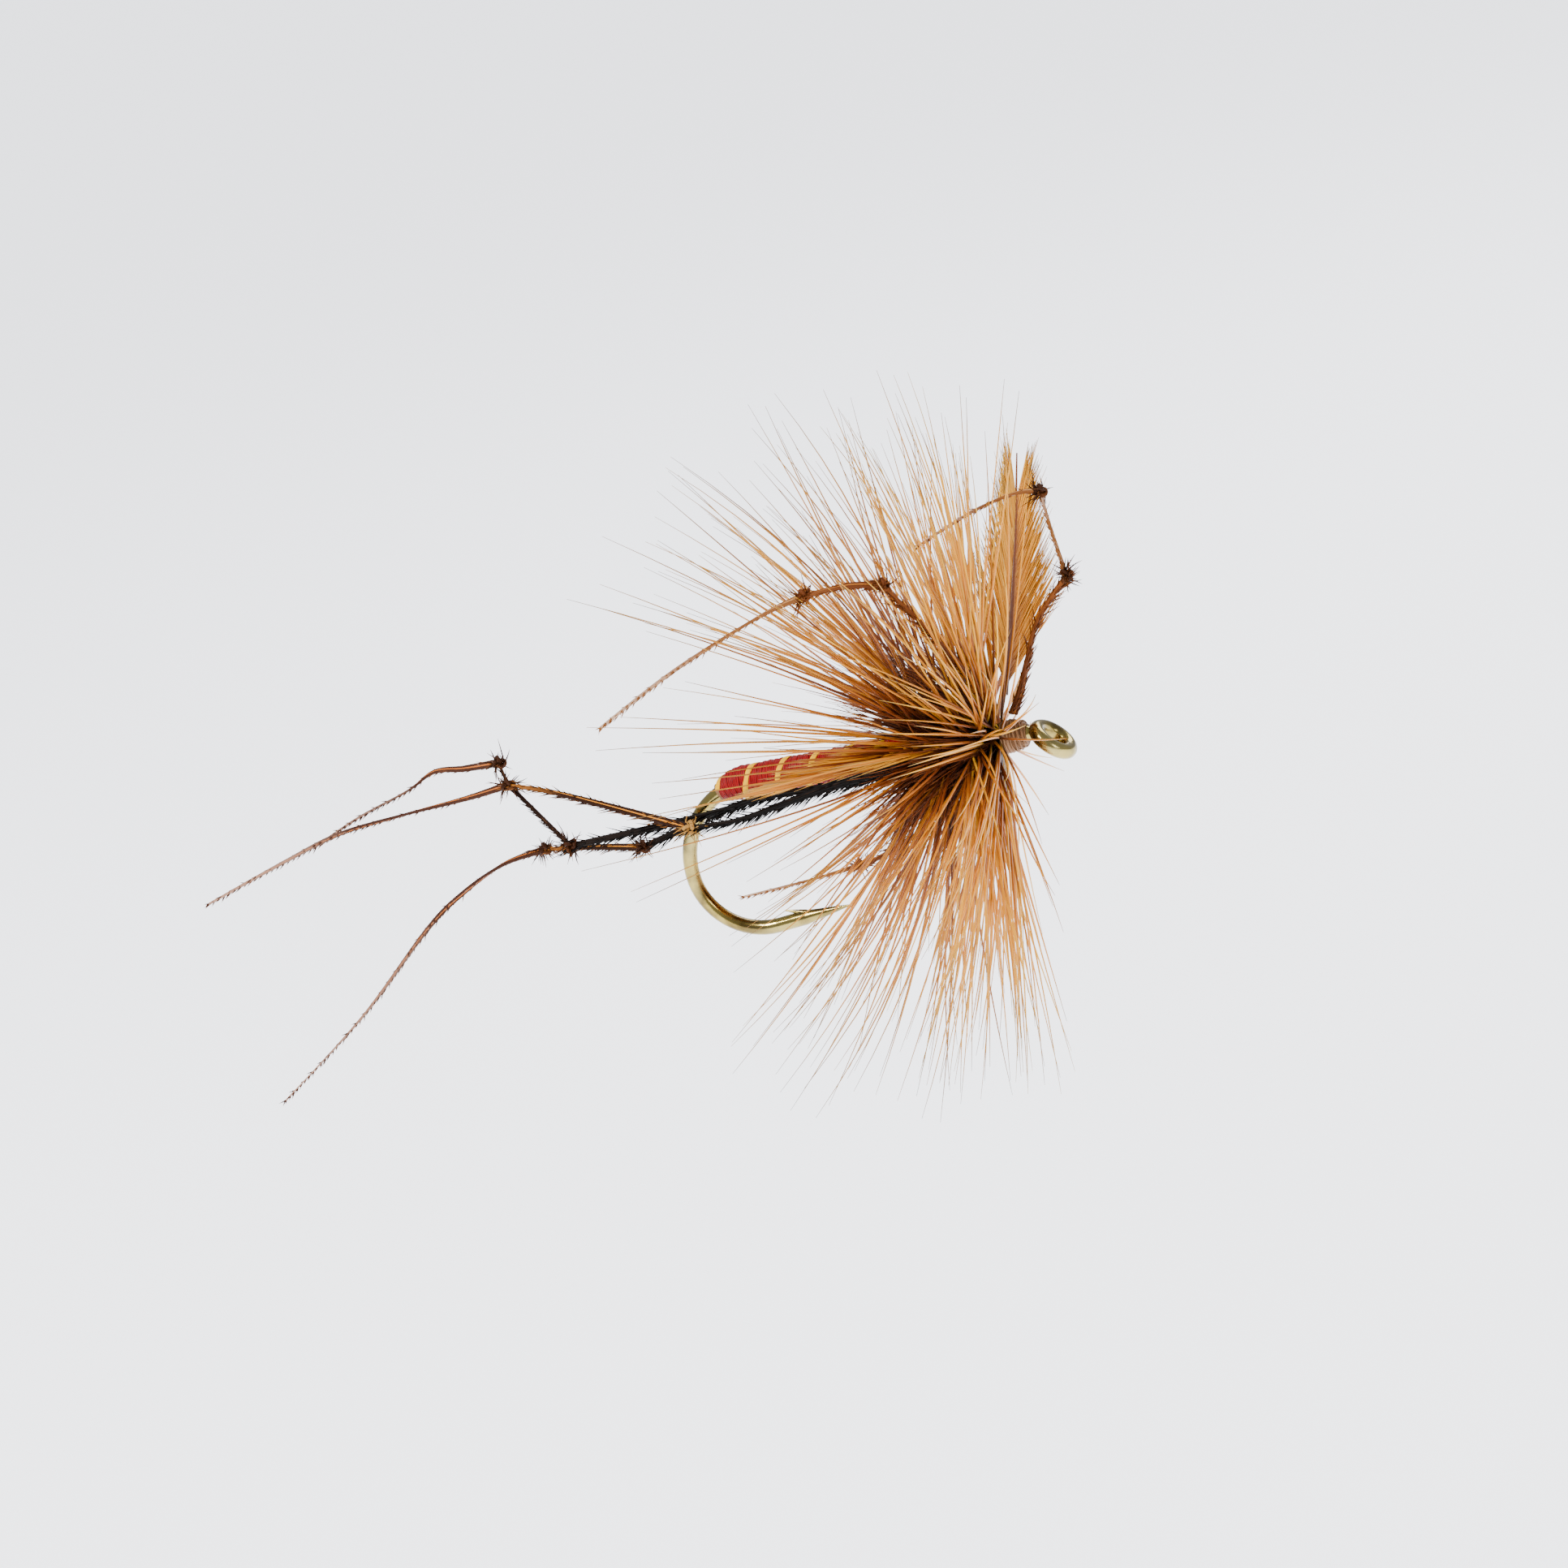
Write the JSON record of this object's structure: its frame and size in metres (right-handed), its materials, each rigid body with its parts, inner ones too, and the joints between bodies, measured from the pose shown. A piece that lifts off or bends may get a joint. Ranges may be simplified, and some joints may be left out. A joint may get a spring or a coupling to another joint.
{
  "type": "dry fly",
  "caption": "Long-legged dry fly: down-eyed barbed hook, red ribbed floss body, ginger hackle, split hackle-tip wings and knotted pheasant-tail legs that bend at hip, knee and ankle.",
  "frame": {"origin": "centre of the hook's eye", "axes": "+X forward, out past the eye, parallel to the shank; -Z towards the hook's point; +Y to the fly's left, away from the side the picture shows"},
  "size_m": [0.0468, 0.031, 0.0311],
  "materials": {
    "hook_wire": "polished",
    "tying_thread": "matte",
    "red_floss": "satin",
    "yellow_rib": "gloss",
    "feather_stem": "satin",
    "brown_hackle": "satin",
    "ginger_hackle": "satin",
    "wing_feather": "satin",
    "dark_pheasant": "matte",
    "brown_pheasant": "matte"
  },
  "bodies": {
    "root": {"hook": "hook_wire", "thread_underbody": "tying_thread", "floss_body": "red_floss", "rib": "yellow_rib", "rear_tie_wraps": "tying_thread", "front_tie_wraps": "tying_thread", "head_thread": "tying_thread", "hackle_rear_quill": "feather_stem", "hackle_rear_barbs": "brown_hackle", "hackle_front_quill": "feather_stem", "hackle_front_barbs": "ginger_hackle"},
    "wing_near": {"wing_near_quill": "feather_stem", "wing_near_vane": "wing_feather"},
    "wing_far": {"wing_far_quill": "feather_stem", "wing_far_vane": "wing_feather"},
    "leg1_upper": {"leg1_femur": "dark_pheasant"},
    "leg1_middle": {"leg1_tibia": "brown_pheasant"},
    "leg1_lower": {"leg1_tarsus": "brown_pheasant"},
    "leg2_upper": {"leg2_femur": "dark_pheasant"},
    "leg2_middle": {"leg2_tibia": "brown_pheasant"},
    "leg2_lower": {"leg2_tarsus": "brown_pheasant"},
    "leg3_upper": {"leg3_femur": "dark_pheasant"},
    "leg3_middle": {"leg3_tibia": "brown_pheasant"},
    "leg3_lower": {"leg3_tarsus": "brown_pheasant"},
    "leg4_upper": {"leg4_femur": "dark_pheasant"},
    "leg4_middle": {"leg4_tibia": "brown_pheasant"},
    "leg4_lower": {"leg4_tarsus": "brown_pheasant"},
    "leg5_upper": {"leg5_femur": "dark_pheasant"},
    "leg5_middle": {"leg5_tibia": "brown_pheasant"},
    "leg5_lower": {"leg5_tarsus": "brown_pheasant"},
    "leg6_upper": {"leg6_femur": "dark_pheasant"},
    "leg6_middle": {"leg6_tibia": "brown_pheasant"},
    "leg6_lower": {"leg6_tarsus": "brown_pheasant"}
  },
  "joints": [
    {"name": "leg1_hip", "type": "hinge", "parent": "root", "child": "leg1_upper", "pos_m": [-0.0067, -0.00115, 0.0001], "axis": [0, 1, 0], "range_deg": [-4, 6], "stiffness_Nm_per_rad": 0.000004, "deforming": ["hackle_rear_barbs", "hackle_front_barbs"]},
    {"name": "leg1_knee", "type": "hinge", "parent": "leg1_upper", "child": "leg1_middle", "pos_m": [-0.0242, -0.0012, -0.0009], "axis": [0, 1, 0], "range_deg": [-12, 16], "stiffness_Nm_per_rad": 0.000004, "deforming": ["hackle_rear_barbs", "hackle_front_barbs"]},
    {"name": "leg1_ankle", "type": "hinge", "parent": "leg1_middle", "child": "leg1_lower", "pos_m": [-0.0266, -0.0012, 0.0038], "axis": [0, 1, 0], "range_deg": [-15, 20], "stiffness_Nm_per_rad": 0.000004, "deforming": ["hackle_rear_barbs", "hackle_front_barbs"]},
    {"name": "leg2_hip", "type": "hinge", "parent": "root", "child": "leg2_upper", "pos_m": [-0.0066, -0.0017, 0.0005], "axis": [0, 1, 0], "range_deg": [-4, 6], "stiffness_Nm_per_rad": 0.000004, "deforming": ["hackle_rear_barbs", "hackle_front_barbs"]},
    {"name": "leg2_knee", "type": "hinge", "parent": "leg2_upper", "child": "leg2_middle", "pos_m": [-0.0178, -0.0018, -0.0008], "axis": [0, 1, 0], "range_deg": [-12, 16], "stiffness_Nm_per_rad": 0.000004, "deforming": ["hackle_rear_barbs", "hackle_front_barbs"]},
    {"name": "leg2_ankle", "type": "hinge", "parent": "leg2_middle", "child": "leg2_lower", "pos_m": [-0.0262, -0.0018, 0.0028], "axis": [0, 1, 0], "range_deg": [-15, 20], "stiffness_Nm_per_rad": 0.000004, "deforming": ["hackle_rear_barbs", "hackle_front_barbs"]},
    {"name": "leg3_hip", "type": "hinge", "parent": "root", "child": "leg3_upper", "pos_m": [-0.0067, 0.00115, 0.0004], "axis": [0, 1, 0], "range_deg": [-4, 6], "stiffness_Nm_per_rad": 0.000004, "deforming": ["hackle_rear_barbs", "hackle_front_barbs"]},
    {"name": "leg3_knee", "type": "hinge", "parent": "leg3_upper", "child": "leg3_middle", "pos_m": [-0.0216, 0.0013, -0.0023], "axis": [0, 1, 0], "range_deg": [-14, 14], "stiffness_Nm_per_rad": 0.000004, "deforming": ["hackle_rear_barbs", "hackle_front_barbs"]},
    {"name": "leg3_ankle", "type": "hinge", "parent": "leg3_middle", "child": "leg3_lower", "pos_m": [-0.0266, 0.0013, -0.0016], "axis": [0, 1, 0], "range_deg": [-15, 20], "stiffness_Nm_per_rad": 0.000004, "deforming": ["hackle_rear_barbs", "hackle_front_barbs"]},
    {"name": "leg4_hip", "type": "hinge", "parent": "root", "child": "leg4_upper", "pos_m": [-0.0022, -0.0009, 0.0015], "axis": [0, 1, 0], "range_deg": [-10, 10], "stiffness_Nm_per_rad": 0.000004, "deforming": ["hackle_rear_barbs", "hackle_front_barbs"]},
    {"name": "leg4_knee", "type": "hinge", "parent": "leg4_upper", "child": "leg4_middle", "pos_m": [-0.0046, -0.005, 0.0099], "axis": [0, 1, 0], "range_deg": [-15, 15], "stiffness_Nm_per_rad": 0.000004, "deforming": ["hackle_rear_barbs", "hackle_front_barbs"]},
    {"name": "leg4_ankle", "type": "hinge", "parent": "leg4_middle", "child": "leg4_lower", "pos_m": [-0.008, -0.006, 0.0103], "axis": [0, 1, 0], "range_deg": [-20, 20], "stiffness_Nm_per_rad": 0.000004, "deforming": ["hackle_rear_barbs", "hackle_front_barbs"]},
    {"name": "leg5_hip", "type": "hinge", "parent": "root", "child": "leg5_upper", "pos_m": [-0.0018, 0.0008, 0.0013], "axis": [0, 1, 0], "range_deg": [-8, 10], "stiffness_Nm_per_rad": 0.000004, "deforming": ["hackle_rear_barbs", "hackle_front_barbs"]},
    {"name": "leg5_knee", "type": "hinge", "parent": "leg5_upper", "child": "leg5_middle", "pos_m": [0.0022, 0.001, 0.0073], "axis": [0, 1, 0], "range_deg": [-15, 15], "stiffness_Nm_per_rad": 0.000004, "deforming": ["hackle_rear_barbs", "hackle_front_barbs"]},
    {"name": "leg5_ankle", "type": "hinge", "parent": "leg5_middle", "child": "leg5_lower", "pos_m": [0.0017, 0.002, 0.0112], "axis": [0, 1, 0], "range_deg": [-20, 20], "stiffness_Nm_per_rad": 0.000004, "deforming": ["hackle_rear_barbs", "hackle_front_barbs"]},
    {"name": "leg6_hip", "type": "hinge", "parent": "root", "child": "leg6_upper", "pos_m": [-0.0069, 0.0015, 0], "axis": [0, 1, 0], "range_deg": [-8, 8], "stiffness_Nm_per_rad": 0.000004, "deforming": ["hackle_rear_barbs", "hackle_front_barbs"]},
    {"name": "leg6_knee", "type": "hinge", "parent": "leg6_upper", "child": "leg6_middle", "pos_m": [-0.0103, 0.0052, -0.0055], "axis": [0, 1, 0], "range_deg": [-15, 15], "stiffness_Nm_per_rad": 0.000004, "deforming": ["hackle_rear_barbs", "hackle_front_barbs"]},
    {"name": "leg6_ankle", "type": "hinge", "parent": "leg6_middle", "child": "leg6_lower", "pos_m": [-0.0126, 0.0058, -0.0064], "axis": [0, 1, 0], "range_deg": [-20, 20], "stiffness_Nm_per_rad": 0.000004, "deforming": ["hackle_rear_barbs", "hackle_front_barbs"]},
    {"name": "wing_near_flex", "type": "hinge", "parent": "root", "child": "wing_near", "pos_m": [-0.0034, -0.0012, 0.001], "axis": [0, 0, 1], "range_deg": [-10, 10], "stiffness_Nm_per_rad": 0.000004, "deforming": ["hackle_rear_barbs", "hackle_front_barbs"]},
    {"name": "wing_far_flex", "type": "hinge", "parent": "root", "child": "wing_far", "pos_m": [-0.0021, 0.0014, 0.0021], "axis": [1, 0, 0], "range_deg": [-10, 10], "stiffness_Nm_per_rad": 0.000004, "deforming": ["hackle_rear_barbs", "hackle_front_barbs"]}
  ]
}
